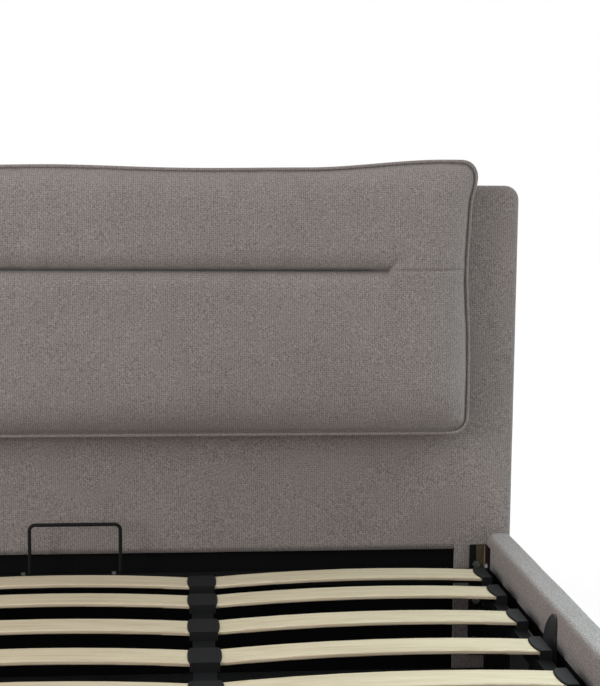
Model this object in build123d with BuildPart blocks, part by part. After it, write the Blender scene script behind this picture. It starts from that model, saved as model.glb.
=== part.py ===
"""Upholstered storage bed: padded headboard, three rails, and a slatted platform on a lift linkage.

Millimetres, +Z up, +Y towards the headboard, origin on the floor under the middle of the bed.
Places along the bed are often given as u, the distance from the headboard's front face.
"""

import math
import os

from build123d import *

os.makedirs("parts", exist_ok=True)

# Overall sizes
INNER_WIDTH = 1822.0
INNER_LENGTH = 2020.0
RAIL_THICKNESS = 53.0
RAIL_TOP = 360.0
FOOT_HEIGHT = 30.0
HEADBOARD_THICKNESS = 90.0
HEADBOARD_TOP = 1105.0
HEADBOARD_CORNER_R = 30.0

# Upholstery and linings
RAIL_PADDING = 22.0
RAIL_TOP_PADDING = 12.0
RAIL_TOP_R = 18.0
LINING = 3.0
LINING_DROP = 70.0
FABRIC_GAP = 0.3
HEAD_FRONT_PADDING = 24.0
HEAD_SIDE_PADDING = 14.0
BACK_LINING = 1.5
HEAD_BATTEN = 60.0
HEAD_BAYS = 3
HEAD_SHEET = 12.0
LOWER_PANEL_DROP = 34.0
LOWER_PANEL_INSET = 69.0
LOWER_PANEL_RECESS = 10.0

# Cushion on the headboard
CUSHION_INSET = 106.0
CUSHION_HEIGHT = 546.0
CUSHION_RISE = 38.0
CUSHION_CORNER_LIFT = 14.0
CUSHION_EDGE = 42.0
CUSHION_DEPTH = 92.0
CUSHION_TUCK_DROP = 213.0
CUSHION_TUCK_DEPTH = 50.0
CUSHION_TUCK_INSET = 173.0
CUSHION_TUCK_RUN = 60.0

# Storage floor
LEDGE_WIDTH = 20.0
LEDGE_TOP = 54.0
FLOOR_PANEL = 6.0
FLOOR_BEAM_WIDTH = 44.0
FLOOR_GAP = 0.5
FOOT_R = 24.0

# Platform of steel tube
TUBE_WALL = 1.5
BAR_WIDTH = 25.0
BAR_HEIGHT = 25.0
BAR_DROP = 68.0
BAR_SIDE_GAP = 26.0
BEAM_WIDTH = 40.0
BEAM_HEIGHT = 20.0
BEAM_DROP = 9.0
PLATFORM_HEAD_U = 30.0
PLATFORM_FOOT_GAP = 30.0

# Slats
SLAT_ROWS = 13
SLAT_WIDTH = 63.0
SLAT_THICKNESS = 8.0
SLAT_EDGE_R = 2.5
SLAT_CAMBER = 10.0
SLAT_END_INSET = 90.0
END_PITCH = 122.0
HOLDER_FLOOR = 6.0
HOLDER_LIP = 3.0
HOLDER_WIDTH = 72.0
BEAM_HOLDER_LENGTH = 51.0
BEAM_HOLDER_WEB = 5.0
SIDE_HOLDER_LENGTH = 21.0
SIDE_HOLDER_OVERHANG = 2.0
SIDE_HOLDER_END = 5.0
SLAT_CLEARANCE = 0.3

# Mattress stop
STOP_LEFT_X = -60.0
STOP_WIDTH = 187.0
STOP_HEIGHT = 108.0
STOP_WIRE_R = 3.75
STOP_BEND_R = 12.0
STOP_TAB = 3.0
STOP_TAB_OUT = 20.0
STOP_TAB_IN = 8.0
STOP_TAB_WIDTH = 16.0
STOP_BOLT_OFFSET = 13.0
STOP_BOLT_R = 5.5
STOP_BOLT_HEAD = 4.0

# Lift linkage, pivots as (u, z) with the platform down
PIVOT_A = (668.0, 100.0)
PIVOT_B = (497.0, 229.0)
PIVOT_G = (540.0, 90.0)
PIVOT_E = (339.0, 222.0)
PIVOT_H = (340.0, 165.0)
ARM_LENGTH = 286.0
ARM_ANGLE = 170.0
ARM_GAP = 4.5
ARM_WIDTH = 30.0
ARM_THICKNESS = 6.0
STAY_THICKNESS = 4.5
STAY_WIDTH = 28.0
PLATE_THICKNESS = 4.0
LAYER_GAP = 0.5
BRACKET_THICKNESS = 4.0
PIN_R = 6.0
PIN_HEAD_R = 9.0
PIN_CLEARANCE = 0.05
PIN_HEAD_GAP = 0.2
OPEN_PIVOT_CLEARANCE = 2.4
FIN_DROP = 10.0
FIN_NEAR_U = 530.0
FIN_FAR_U = 466.0

# Gas struts
STRUT_INSET = 13.0
STRUT_R = 10.0
STRUT_LENGTH = 150.0
ROD_R = 5.0
ROD_START = 62.0
EYE_R = 11.0
EYE_WIDTH = 12.0
EYE_NECK = 14.0

# Corner brackets
CORNER_PLATE = 4.0
CORNER_ARM = 37.0
CORNER_BOTTOM = 90.0
CORNER_DROP = 25.0
CORNER_BOLT_LOW = 35.0
CORNER_BOLT_HIGH = 43.0
BOLT_HEAD_R = 8.0
BOLT_HEAD = 5.0
REST_WIDTH = 60.0
REST_HEIGHT = 40.0
REST_DEPTH = 70.0

# Worked-out places
RAIL_IN = INNER_WIDTH / 2
RAIL_OUT = RAIL_IN + RAIL_THICKNESS
LENGTH = HEADBOARD_THICKNESS + INNER_LENGTH + RAIL_THICKNESS
BACK_Y = LENGTH / 2
FACE_Y = BACK_Y - HEADBOARD_THICKNESS
FOOT_IN_Y = FACE_Y - INNER_LENGTH
FOOT_OUT_Y = FOOT_IN_Y - RAIL_THICKNESS
BOARD_IN = RAIL_IN + LINING
BOARD_OUT = RAIL_OUT - RAIL_PADDING
BOARD_TOP = RAIL_TOP - RAIL_TOP_PADDING
LINING_TOP = RAIL_TOP - LINING_DROP
LOWER_PANEL_TOP = RAIL_TOP - LOWER_PANEL_DROP
LOWER_PANEL_HALF = RAIL_IN - LOWER_PANEL_INSET
CORNER_TOP = RAIL_TOP - CORNER_DROP
FIN_TOP = RAIL_TOP - FIN_DROP
CUSHION_HALF = RAIL_OUT - CUSHION_INSET
CUSHION_TOP = HEADBOARD_TOP + CUSHION_RISE
CUSHION_BOTTOM = CUSHION_TOP - CUSHION_HEIGHT
CUSHION_TUCK_Z = CUSHION_TOP - CUSHION_TUCK_DROP
CUSHION_TUCK_END = CUSHION_HALF - CUSHION_TUCK_INSET
BAR_TOP = RAIL_TOP - BAR_DROP
BAR_OUTER_X = RAIL_IN - BAR_SIDE_GAP
BAR_INNER_X = BAR_OUTER_X - BAR_WIDTH
BEAM_TOP = BAR_TOP - BEAM_DROP
BEAM_X = BAR_OUTER_X / 3
STRUT_X = BAR_OUTER_X - STRUT_INSET
PLATFORM_LENGTH = INNER_LENGTH - PLATFORM_HEAD_U - PLATFORM_FOOT_GAP
PLATFORM_HEAD_Y = FACE_Y - PLATFORM_HEAD_U
PLATFORM_FOOT_Y = PLATFORM_HEAD_Y - PLATFORM_LENGTH
PLATE_X = RAIL_IN - PLATE_THICKNESS
STAY_X = PLATE_X - LAYER_GAP - STAY_THICKNESS
BRACKET_X = BAR_OUTER_X
ARM_X = BRACKET_X + BRACKET_THICKNESS + ARM_GAP
PIVOT_C = (
    PIVOT_A[0] + ARM_LENGTH * math.cos(math.radians(ARM_ANGLE)),
    PIVOT_A[1] + ARM_LENGTH * math.sin(math.radians(ARM_ANGLE)),
)
MID_PITCH = (PLATFORM_LENGTH - 2 * SLAT_END_INSET - 2 * END_PITCH) / (SLAT_ROWS - 3)
FIRST_SLAT_U = PLATFORM_HEAD_U + SLAT_END_INSET
SLAT_U = [FIRST_SLAT_U, FIRST_SLAT_U + END_PITCH]
while len(SLAT_U) < SLAT_ROWS - 1:
    SLAT_U.append(SLAT_U[-1] + MID_PITCH)
SLAT_U.append(SLAT_U[-1] + END_PITCH)


def at(u, z):
    """The (Y, Z) place of a point given by its distance from the headboard and its height."""
    return (FACE_Y - u, z)


def save(piece, name):
    """Label a finished piece and write its STEP file."""
    piece.part.label = name
    export_step(piece.part, f"parts/{name}.step")


def save_pair(piece, name):
    """Write a right-hand piece and its mirror image on the left."""
    save(piece, f"{name}_right")
    with BuildPart() as left:
        mirror(piece.part, about=Plane.YZ)
    save(left, f"{name}_left")


def block(x0, x1, y0, y1, z0, z1, mode=Mode.ADD):
    """A box between two corners, in the part that is being built."""
    with Locations(((x0 + x1) / 2, (y0 + y1) / 2, (z0 + z1) / 2)):
        Box(x1 - x0, y1 - y0, z1 - z0, mode=mode)


def pin(place, x0, x1, radius, mode=Mode.ADD):
    """A round pin along X, between two X places, at a (u, z) pivot."""
    with BuildSketch(Plane.YZ.offset(x0)) as disc:
        with Locations(at(*place)):
            Circle(radius)
    extrude(disc.sketch, amount=x1 - x0, mode=mode)


def link(start, end, x, thickness, width):
    """A flat bar with round ends from one (u, z) pivot to another."""
    (y0, z0), (y1, z1) = at(*start), at(*end)
    middle = ((y0 + y1) / 2, (z0 + z1) / 2)
    turn = math.degrees(math.atan2(z1 - z0, y1 - y0))
    with BuildSketch(Plane.YZ.offset(x)) as outline:
        with Locations(middle):
            SlotCenterToCenter(math.dist((y0, z0), (y1, z1)), width, rotation=turn)
    extrude(outline.sketch, amount=thickness)


# Headboard: a board, its padded cover, a black lower panel and a back lining
HEAD_BOARD_FRONT = FACE_Y + HEAD_FRONT_PADDING
HEAD_BOARD_HALF = RAIL_OUT - HEAD_SIDE_PADDING
HEAD_BOARD_TOP = HEADBOARD_TOP - HEAD_SIDE_PADDING
HEAD_BOARD_BACK = BACK_Y - BACK_LINING
PANEL_Y = FACE_Y + LOWER_PANEL_RECESS

with BuildPart() as headboard_board:
    block(-HEAD_BOARD_HALF, HEAD_BOARD_HALF, HEAD_BOARD_FRONT, HEAD_BOARD_BACK, FOOT_HEIGHT, HEAD_BOARD_TOP)
    bay = (2 * HEAD_BOARD_HALF - (HEAD_BAYS + 1) * HEAD_BATTEN) / HEAD_BAYS
    for i in range(HEAD_BAYS):
        left = -HEAD_BOARD_HALF + HEAD_BATTEN + i * (bay + HEAD_BATTEN)
        block(
            left, left + bay, HEAD_BOARD_FRONT + HEAD_SHEET, HEAD_BOARD_BACK,
            FOOT_HEIGHT + HEAD_BATTEN, HEAD_BOARD_TOP - HEAD_BATTEN, mode=Mode.SUBTRACT,
        )
save(headboard_board, "headboard_board")

with BuildPart() as headboard_upholstery:
    with BuildSketch(Plane.XZ.offset(-BACK_Y)):
        with BuildLine():
            Polyline(
                (-RAIL_OUT, FOOT_HEIGHT),
                (-RAIL_OUT, HEADBOARD_TOP),
                (RAIL_OUT, HEADBOARD_TOP),
                (RAIL_OUT, FOOT_HEIGHT),
                close=True,
            )
        make_face()
    extrude(amount=HEADBOARD_THICKNESS)
    top_corners = headboard_upholstery.edges().filter_by(Axis.Y).group_by(Axis.Z)[-1]
    fillet(top_corners, HEADBOARD_CORNER_R)
    front_rim = headboard_upholstery.faces().sort_by(Axis.Y)[0].edges().filter_by_position(
        Axis.Z, FOOT_HEIGHT + 1, HEADBOARD_TOP + 1
    )
    fillet(front_rim, HEAD_SIDE_PADDING / 2)
    block(
        -HEAD_BOARD_HALF, HEAD_BOARD_HALF, HEAD_BOARD_FRONT, BACK_Y, FOOT_HEIGHT, HEAD_BOARD_TOP,
        mode=Mode.SUBTRACT,
    )
    block(
        -LOWER_PANEL_HALF, LOWER_PANEL_HALF, FACE_Y, HEAD_BOARD_FRONT, FOOT_HEIGHT, LOWER_PANEL_TOP,
        mode=Mode.SUBTRACT,
    )
save(headboard_upholstery, "headboard_upholstery")

with BuildPart() as headboard_lower_panel:
    block(
        -LOWER_PANEL_HALF, LOWER_PANEL_HALF, PANEL_Y, HEAD_BOARD_FRONT, FOOT_HEIGHT, LOWER_PANEL_TOP
    )
save(headboard_lower_panel, "headboard_lower_panel")

with BuildPart() as headboard_back_lining:
    block(-HEAD_BOARD_HALF, HEAD_BOARD_HALF, HEAD_BOARD_BACK, BACK_Y, FOOT_HEIGHT, HEAD_BOARD_TOP)
save(headboard_back_lining, "headboard_back_lining")

# Cushion: crowned above and below a sewn tuck, thinner and drawn in at its ends
CUSHION_BACK_Y = FACE_Y - FABRIC_GAP
END_SHARE = 0.9


def cushion_section(x):
    """The cushion's outline across the bed's length at one X place."""
    share = min(abs(x) / CUSHION_HALF, 1.0)
    fall = max(share - END_SHARE, 0.0) / (1 - END_SHARE)
    depth = CUSHION_EDGE + (CUSHION_DEPTH - CUSHION_EDGE) * math.sqrt(1 - 0.9 * fall**2)
    edge = CUSHION_EDGE * (1 - 0.25 * fall)
    shallow = min(max((abs(x) - CUSHION_TUCK_END) / CUSHION_TUCK_RUN + 1, 0.0), 1.0)
    tuck = CUSHION_TUCK_DEPTH + (depth - 4 - CUSHION_TUCK_DEPTH) * shallow
    top = CUSHION_TOP + CUSHION_CORNER_LIFT * share**4 - 12 * fall**2
    bottom = CUSHION_BOTTOM + 10 * fall**2
    with BuildSketch(Plane.YZ.offset(x)) as section:
        with BuildLine():
            Line((CUSHION_BACK_Y, bottom), (CUSHION_BACK_Y, top))
            Line((CUSHION_BACK_Y, top), (CUSHION_BACK_Y - edge, top))
            ThreePointArc(
                (CUSHION_BACK_Y - edge, top),
                (CUSHION_BACK_Y - depth, (top + CUSHION_TUCK_Z) / 2),
                (CUSHION_BACK_Y - tuck, CUSHION_TUCK_Z),
            )
            ThreePointArc(
                (CUSHION_BACK_Y - tuck, CUSHION_TUCK_Z),
                (CUSHION_BACK_Y - depth, (bottom + CUSHION_TUCK_Z) / 2),
                (CUSHION_BACK_Y - edge, bottom),
            )
            Line((CUSHION_BACK_Y - edge, bottom), (CUSHION_BACK_Y, bottom))
        make_face()
    return section.sketch


END_STATIONS = (0.94, 0.98, 1.0)
cushion_places = [0.0, CUSHION_TUCK_END - CUSHION_TUCK_RUN, CUSHION_TUCK_END]
cushion_places += [share * CUSHION_HALF for share in END_STATIONS]
cushion_places = sorted({-x for x in cushion_places} | set(cushion_places))
with BuildPart() as headboard_cushion:
    loft([cushion_section(x) for x in cushion_places], ruled=True)
save(headboard_cushion, "headboard_cushion")

# Rails: a board, a padded cover over its top and outside, and a black lining inside
SIDE_END_Y = FOOT_IN_Y
with BuildPart() as side_board:
    block(BOARD_IN, BOARD_OUT, SIDE_END_Y, FACE_Y, FOOT_HEIGHT, BOARD_TOP)
save_pair(side_board, "side_rail_board")

with BuildPart() as side_cover:
    block(RAIL_IN, RAIL_OUT, SIDE_END_Y, FACE_Y, FOOT_HEIGHT, RAIL_TOP)
    fillet(side_cover.edges().filter_by(Axis.Y).group_by(Axis.Z)[-1], RAIL_TOP_R)
    block(BOARD_IN, BOARD_OUT, SIDE_END_Y, FACE_Y, FOOT_HEIGHT, BOARD_TOP, mode=Mode.SUBTRACT)
    block(RAIL_IN, BOARD_IN, SIDE_END_Y, FACE_Y, FOOT_HEIGHT, LINING_TOP, mode=Mode.SUBTRACT)
save_pair(side_cover, "side_rail_upholstery")

with BuildPart() as side_lining:
    block(RAIL_IN, BOARD_IN, SIDE_END_Y, FACE_Y, FOOT_HEIGHT, LINING_TOP)
save_pair(side_lining, "side_rail_lining")

FOOT_BOARD_IN = FOOT_IN_Y - LINING
FOOT_BOARD_OUT = FOOT_OUT_Y + RAIL_PADDING
FOOT_BOARD_HALF = RAIL_OUT - RAIL_PADDING
with BuildPart() as foot_rail_board:
    block(-FOOT_BOARD_HALF, FOOT_BOARD_HALF, FOOT_BOARD_OUT, FOOT_BOARD_IN, FOOT_HEIGHT, BOARD_TOP)
save(foot_rail_board, "foot_rail_board")

with BuildPart() as foot_rail_upholstery:
    block(-RAIL_OUT, RAIL_OUT, FOOT_OUT_Y, FOOT_IN_Y, FOOT_HEIGHT, RAIL_TOP)
    outer_corners = foot_rail_upholstery.edges().filter_by(Axis.Z).group_by(Axis.Y)[0]
    fillet(outer_corners, RAIL_TOP_R)
    top_rim = foot_rail_upholstery.faces().sort_by(Axis.Z)[-1].edges()
    fillet(top_rim.group_by(Axis.Y)[0] + top_rim.group_by(Axis.Y)[1], RAIL_TOP_R * 0.9)
    block(
        -FOOT_BOARD_HALF, FOOT_BOARD_HALF, FOOT_BOARD_OUT, FOOT_BOARD_IN, FOOT_HEIGHT, BOARD_TOP,
        mode=Mode.SUBTRACT,
    )
    block(-RAIL_IN, RAIL_IN, FOOT_BOARD_IN, FOOT_IN_Y, FOOT_HEIGHT, LINING_TOP, mode=Mode.SUBTRACT)
save(foot_rail_upholstery, "foot_rail_upholstery")

with BuildPart() as foot_rail_lining:
    block(-RAIL_IN, RAIL_IN, FOOT_BOARD_IN, FOOT_IN_Y, FOOT_HEIGHT, LINING_TOP)
save(foot_rail_lining, "foot_rail_lining")

# Corner brackets: a steel angle at each inner corner, bolted to both of its faces
BOLT_Z = [
    CORNER_BOTTOM + CORNER_BOLT_LOW, (CORNER_BOTTOM + CORNER_TOP) / 2, CORNER_TOP - CORNER_BOLT_HIGH,
]
ACROSS_X = RAIL_IN - CORNER_ARM / 2 - CORNER_PLATE
with BuildPart() as corner_brackets:
    for side in (-1, 1):
        for wall, way in ((FACE_Y, -1), (FOOT_IN_Y, 1)):
            x_wall = side * RAIL_IN
            x0, x1 = sorted((x_wall, x_wall - side * CORNER_ARM))
            y0, y1 = sorted((wall, wall + way * CORNER_PLATE))
            block(x0, x1, y0, y1, CORNER_BOTTOM, CORNER_TOP)
            x0, x1 = sorted((x_wall, x_wall - side * CORNER_PLATE))
            y0, y1 = sorted((wall, wall + way * CORNER_ARM))
            block(x0, x1, y0, y1, CORNER_BOTTOM, CORNER_TOP)
save(corner_brackets, "corner_brackets")

with BuildPart() as corner_bolts:
    for side in (-1, 1):
        for wall, way in ((FACE_Y, -1), (FOOT_IN_Y, 1)):
            for z in BOLT_Z:
                with BuildSketch(Plane.XZ.offset(-(wall + way * CORNER_PLATE))):
                    with Locations((side * ACROSS_X, z)):
                        RegularPolygon(BOLT_HEAD_R, 6)
                extrude(amount=-way * BOLT_HEAD)
                along_y = wall + way * (CORNER_ARM / 2 + CORNER_PLATE)
                with BuildSketch(Plane.YZ.offset(side * (RAIL_IN - CORNER_PLATE))):
                    with Locations((along_y, z)):
                        RegularPolygon(BOLT_HEAD_R, 6)
                extrude(amount=-side * BOLT_HEAD)
save(corner_bolts, "corner_bolts")

# Storage floor: ledges and a middle beam carry two panels
LEDGE_IN = RAIL_IN - LEDGE_WIDTH
with BuildPart() as floor_ledges:
    for side in (-1, 1):
        x0, x1 = sorted((side * LEDGE_IN, side * RAIL_IN))
        block(x0, x1, FOOT_IN_Y, FACE_Y, FOOT_HEIGHT, LEDGE_TOP)
    foot_ledge_half = LEDGE_IN - FLOOR_GAP
    block(-foot_ledge_half, foot_ledge_half, FOOT_IN_Y, FOOT_IN_Y + LEDGE_WIDTH, FOOT_HEIGHT, LEDGE_TOP)
save(floor_ledges, "floor_ledges")

with BuildPart() as floor_beam:
    block(
        -FLOOR_BEAM_WIDTH / 2, FLOOR_BEAM_WIDTH / 2, FOOT_IN_Y + LEDGE_WIDTH, PANEL_Y,
        FOOT_HEIGHT, LEDGE_TOP,
    )
save(floor_beam, "floor_beam")

with BuildPart() as floor_panel:
    block(
        FLOOR_GAP, RAIL_IN - FLOOR_GAP, FOOT_IN_Y + FLOOR_GAP, FACE_Y - FLOOR_GAP,
        LEDGE_TOP, LEDGE_TOP + FLOOR_PANEL,
    )
save_pair(floor_panel, "floor_panel")

FOOT_X = (BOARD_IN + BOARD_OUT) / 2
FOOT_INSET = 150.0
MIDDLE_Y = (FACE_Y + FOOT_IN_Y) / 2
FOOT_YS = (FACE_Y - FOOT_INSET, MIDDLE_Y, FOOT_IN_Y + FOOT_INSET)
foot_places = [(s * FOOT_X, y) for s in (-1, 1) for y in FOOT_YS]
foot_places += [(0.0, MIDDLE_Y + d) for d in (-INNER_LENGTH / 4, INNER_LENGTH / 4)]
foot_places += [(s * FOOT_X, (HEAD_BOARD_FRONT + HEAD_BOARD_BACK) / 2) for s in (-1, 1)]
with BuildPart() as feet:
    with BuildSketch():
        with Locations(*foot_places):
            Circle(FOOT_R)
    extrude(amount=FOOT_HEIGHT, taper=-3)
save(feet, "feet")

REST_TOP = BAR_TOP - BAR_HEIGHT - FABRIC_GAP
with BuildPart() as platform_rests:
    for side in (-1, 1):
        x0, x1 = sorted((side * BEAM_X * 2, side * (BEAM_X * 2 + REST_WIDTH)))
        block(x0, x1, FOOT_IN_Y, FOOT_IN_Y + REST_DEPTH, REST_TOP - REST_HEIGHT, REST_TOP)
save(platform_rests, "platform_rests")

# Lift base plates, fixed to the side rails, with a fin that stands beside the platform
with BuildPart() as base_plate:
    with BuildSketch(Plane.YZ.offset(PLATE_X)):
        with BuildLine():
            low = PIVOT_G[1] - 18
            right_u = PIVOT_A[0] + 34
            Polyline(
                at(FIN_NEAR_U, PIVOT_B[1] + 30),
                at(right_u, PIVOT_A[1] + 30),
                at(right_u, low),
                at(FIN_FAR_U - 12, low),
                at(FIN_FAR_U - 12, PIVOT_B[1] + 18),
            )
            ThreePointArc(
                at(FIN_FAR_U - 12, PIVOT_B[1] + 18),
                at(FIN_FAR_U + 6, FIN_TOP - 33),
                at(FIN_NEAR_U - 14, FIN_TOP),
            )
            ThreePointArc(
                at(FIN_NEAR_U - 14, FIN_TOP),
                at(FIN_NEAR_U - 3, FIN_TOP - 5),
                at(FIN_NEAR_U, FIN_TOP - 16),
            )
            Line(at(FIN_NEAR_U, FIN_TOP - 16), at(FIN_NEAR_U, PIVOT_B[1] + 30))
        make_face()
    extrude(amount=PLATE_THICKNESS)
save_pair(base_plate, "lift_base_plate")

ARM_PIN_END = ARM_X - PIN_HEAD_GAP
STAY_PIN_END = STAY_X - PIN_HEAD_GAP
STUD_HEAD = STRUT_X - EYE_WIDTH / 2 - PIN_HEAD_GAP
STUD_HEAD_THICKNESS = 2.5
RIVET_HEAD = 1.2
with BuildPart() as base_pins:
    pin(PIVOT_A, ARM_PIN_END, PLATE_X, PIN_R)
    pin(PIVOT_A, ARM_PIN_END - RIVET_HEAD, ARM_PIN_END, PIN_HEAD_R)
    pin(PIVOT_B, STAY_PIN_END, PLATE_X, PIN_R)
    pin(PIVOT_B, STAY_PIN_END - RIVET_HEAD, STAY_PIN_END, PIN_HEAD_R)
    pin(PIVOT_G, STUD_HEAD, PLATE_X, PIN_R)
    pin(PIVOT_G, STUD_HEAD - STUD_HEAD_THICKNESS, STUD_HEAD, PIN_HEAD_R)
    mirror(about=Plane.YZ)
save(base_pins, "lift_base_pins")

# Long arms, stay arms and gas struts
with BuildPart() as long_arm:
    link(PIVOT_A, PIVOT_C, ARM_X, ARM_THICKNESS, ARM_WIDTH)
    for place in (PIVOT_A, PIVOT_C):
        pin(place, ARM_X, ARM_X + ARM_THICKNESS, PIN_R + PIN_CLEARANCE, mode=Mode.SUBTRACT)
save_pair(long_arm, "lift_arm")

with BuildPart() as stay_arm:
    link(PIVOT_B, PIVOT_E, STAY_X, STAY_THICKNESS, STAY_WIDTH)
    pin(PIVOT_B, STAY_X, STAY_X + STAY_THICKNESS, PIN_R + PIN_CLEARANCE, mode=Mode.SUBTRACT)
    pin(PIVOT_E, STAY_X, STAY_X + STAY_THICKNESS, PIN_R + OPEN_PIVOT_CLEARANCE, mode=Mode.SUBTRACT)
save_pair(stay_arm, "stay_arm")

STRUT_SPAN = math.dist(PIVOT_G, PIVOT_H)
strut_y, strut_z = at(*PIVOT_G)
strut_plane = Plane(
    origin=(STRUT_X, strut_y, strut_z),
    x_dir=(1, 0, 0),
    z_dir=(0, PIVOT_G[0] - PIVOT_H[0], PIVOT_H[1] - PIVOT_G[1]),
)
EYE_X = STRUT_X - EYE_WIDTH / 2

with BuildPart() as gas_cylinder:
    pin(PIVOT_G, EYE_X, EYE_X + EYE_WIDTH, EYE_R)
    with BuildSketch(strut_plane):
        Circle(ROD_R)
    extrude(amount=EYE_NECK + 4)
    with BuildSketch(strut_plane.offset(EYE_NECK)):
        Circle(STRUT_R)
    extrude(amount=STRUT_LENGTH - EYE_NECK)
    with BuildSketch(strut_plane.offset(ROD_START - 2)):
        Circle(ROD_R + PIN_CLEARANCE)
    extrude(amount=STRUT_LENGTH, mode=Mode.SUBTRACT)
    pin(PIVOT_G, EYE_X, EYE_X + EYE_WIDTH, PIN_R + PIN_CLEARANCE, mode=Mode.SUBTRACT)
save_pair(gas_cylinder, "gas_cylinder")

with BuildPart() as gas_rod:
    with BuildSketch(strut_plane.offset(ROD_START)):
        Circle(ROD_R)
    extrude(amount=STRUT_SPAN - ROD_START)
    pin(PIVOT_H, EYE_X, EYE_X + EYE_WIDTH, EYE_R)
    pin(PIVOT_H, EYE_X, EYE_X + EYE_WIDTH, PIN_R + OPEN_PIVOT_CLEARANCE, mode=Mode.SUBTRACT)
save_pair(gas_rod, "gas_rod")

# Platform brackets hang from the side bars and carry the arms' upper pivots
with BuildPart() as platform_bracket:
    with BuildSketch(Plane.YZ.offset(BRACKET_X)) as bracket_outline:
        with BuildLine():
            Polyline(
                at(PIVOT_E[0] - 27, BAR_TOP - 1),
                at(PIVOT_C[0] + 76, BAR_TOP - 1),
                at(PIVOT_C[0] + 76, BAR_TOP - BAR_HEIGHT - 10),
                at(PIVOT_C[0] + 18, PIVOT_C[1] - 9),
                at(PIVOT_C[0], PIVOT_C[1] - 19),
                at(PIVOT_H[0] - 8, PIVOT_H[1] - 18),
                at(PIVOT_E[0] - 22, PIVOT_H[1] + 5),
                close=True,
            )
        make_face()
        fillet(bracket_outline.vertices(), 6)
    extrude(amount=BRACKET_THICKNESS)
save_pair(platform_bracket, "platform_bracket")

BRACKET_OUT = BRACKET_X + BRACKET_THICKNESS
with BuildPart() as bracket_pins:
    pin(PIVOT_C, BRACKET_OUT, ARM_X + ARM_THICKNESS + RIVET_HEAD / 2, PIN_R)
    pin(PIVOT_C, BRACKET_X - RIVET_HEAD, BRACKET_X, PIN_HEAD_R)
    pin(PIVOT_E, BRACKET_OUT, STAY_X + STAY_THICKNESS - LAYER_GAP, PIN_R)
    pin(PIVOT_H, STUD_HEAD, BRACKET_X, PIN_R)
    pin(PIVOT_H, STUD_HEAD - STUD_HEAD_THICKNESS, STUD_HEAD, PIN_HEAD_R + 1)
    mirror(about=Plane.YZ)
save(bracket_pins, "bracket_pins")


def tube(x0, x1, y0, y1, z0, z1, along):
    """A rectangular steel tube, hollow along one axis."""
    block(x0, x1, y0, y1, z0, z1)
    wall = {axis: (0.0 if axis == along else TUBE_WALL) for axis in "xyz"}
    block(
        x0 + wall["x"], x1 - wall["x"], y0 + wall["y"], y1 - wall["y"], z0 + wall["z"], z1 - wall["z"],
        mode=Mode.SUBTRACT,
    )


# Platform frame: side bars, end bars between them, and two inner beams
END_BAR_HEAD_Y = PLATFORM_HEAD_Y - BAR_WIDTH
END_BAR_FOOT_Y = PLATFORM_FOOT_Y + BAR_WIDTH
with BuildPart() as side_bar:
    tube(
        BAR_INNER_X, BAR_OUTER_X, PLATFORM_FOOT_Y, PLATFORM_HEAD_Y, BAR_TOP - BAR_HEIGHT, BAR_TOP, "y"
    )
save_pair(side_bar, "platform_side_bar")

for name, y0, y1 in (
    ("platform_head_bar", END_BAR_HEAD_Y, PLATFORM_HEAD_Y),
    ("platform_foot_bar", PLATFORM_FOOT_Y, END_BAR_FOOT_Y),
):
    with BuildPart() as end_bar:
        tube(-BAR_INNER_X, BAR_INNER_X, y0, y1, BAR_TOP - BAR_HEIGHT, BAR_TOP, "x")
    save(end_bar, name)

with BuildPart() as inner_beam:
    tube(
        BEAM_X - BEAM_WIDTH / 2, BEAM_X + BEAM_WIDTH / 2, END_BAR_FOOT_Y, END_BAR_HEAD_Y,
        BEAM_TOP - BEAM_HEIGHT, BEAM_TOP, "y",
    )
save_pair(inner_beam, "platform_beam")

# Bowed slats: three to a row, between the side bars and the two beams
SIDE_END_X = BAR_OUTER_X + SIDE_HOLDER_OVERHANG - SIDE_HOLDER_END
BEAM_END_X = BEAM_HOLDER_WEB / 2
SIDE_SLAT_Z = BAR_TOP + HOLDER_FLOOR + SLAT_THICKNESS
BEAM_SLAT_Z = BEAM_TOP + HOLDER_FLOOR + SLAT_THICKNESS
COLUMNS = (
    (-SIDE_END_X, SIDE_SLAT_Z, -BEAM_X - BEAM_END_X, BEAM_SLAT_Z),
    (-BEAM_X + BEAM_END_X, BEAM_SLAT_Z, BEAM_X - BEAM_END_X, BEAM_SLAT_Z),
    (BEAM_X + BEAM_END_X, BEAM_SLAT_Z, SIDE_END_X, SIDE_SLAT_Z),
)


def slat(column, u, room=0.0):
    """One bowed slat, or with some room added the space that it takes in its holders."""
    x0, z0, x1, z1 = column
    half = math.dist((x0, z0), (x1, z1)) / 2 + room
    top, low = room, SLAT_THICKNESS + room
    tilt = -math.degrees(math.atan2(z1 - z0, x1 - x0))
    with BuildPart() as bent:
        with BuildSketch(Plane.XZ):
            with BuildLine():
                ThreePointArc((-half, top), (0, SLAT_CAMBER + top), (half, top))
                Line((half, top), (half, -low))
                ThreePointArc((half, -low), (0, SLAT_CAMBER - low), (-half, -low))
                Line((-half, -low), (-half, top))
            make_face()
        extrude(amount=SLAT_WIDTH / 2 + room, both=True)
        if room == 0.0:
            long_edges = bent.edges().filter_by(GeomType.CIRCLE)
            fillet(long_edges, SLAT_EDGE_R)
    place = Location(((x0 + x1) / 2, FACE_Y - u, (z0 + z1) / 2), (0, tilt, 0))
    return bent.part.moved(place)


for row, u in enumerate(SLAT_U, start=1):
    with BuildPart() as slat_row:
        for column in COLUMNS:
            add(slat(column, u))
    save(slat_row, f"slat_row_{row:02d}")

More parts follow.
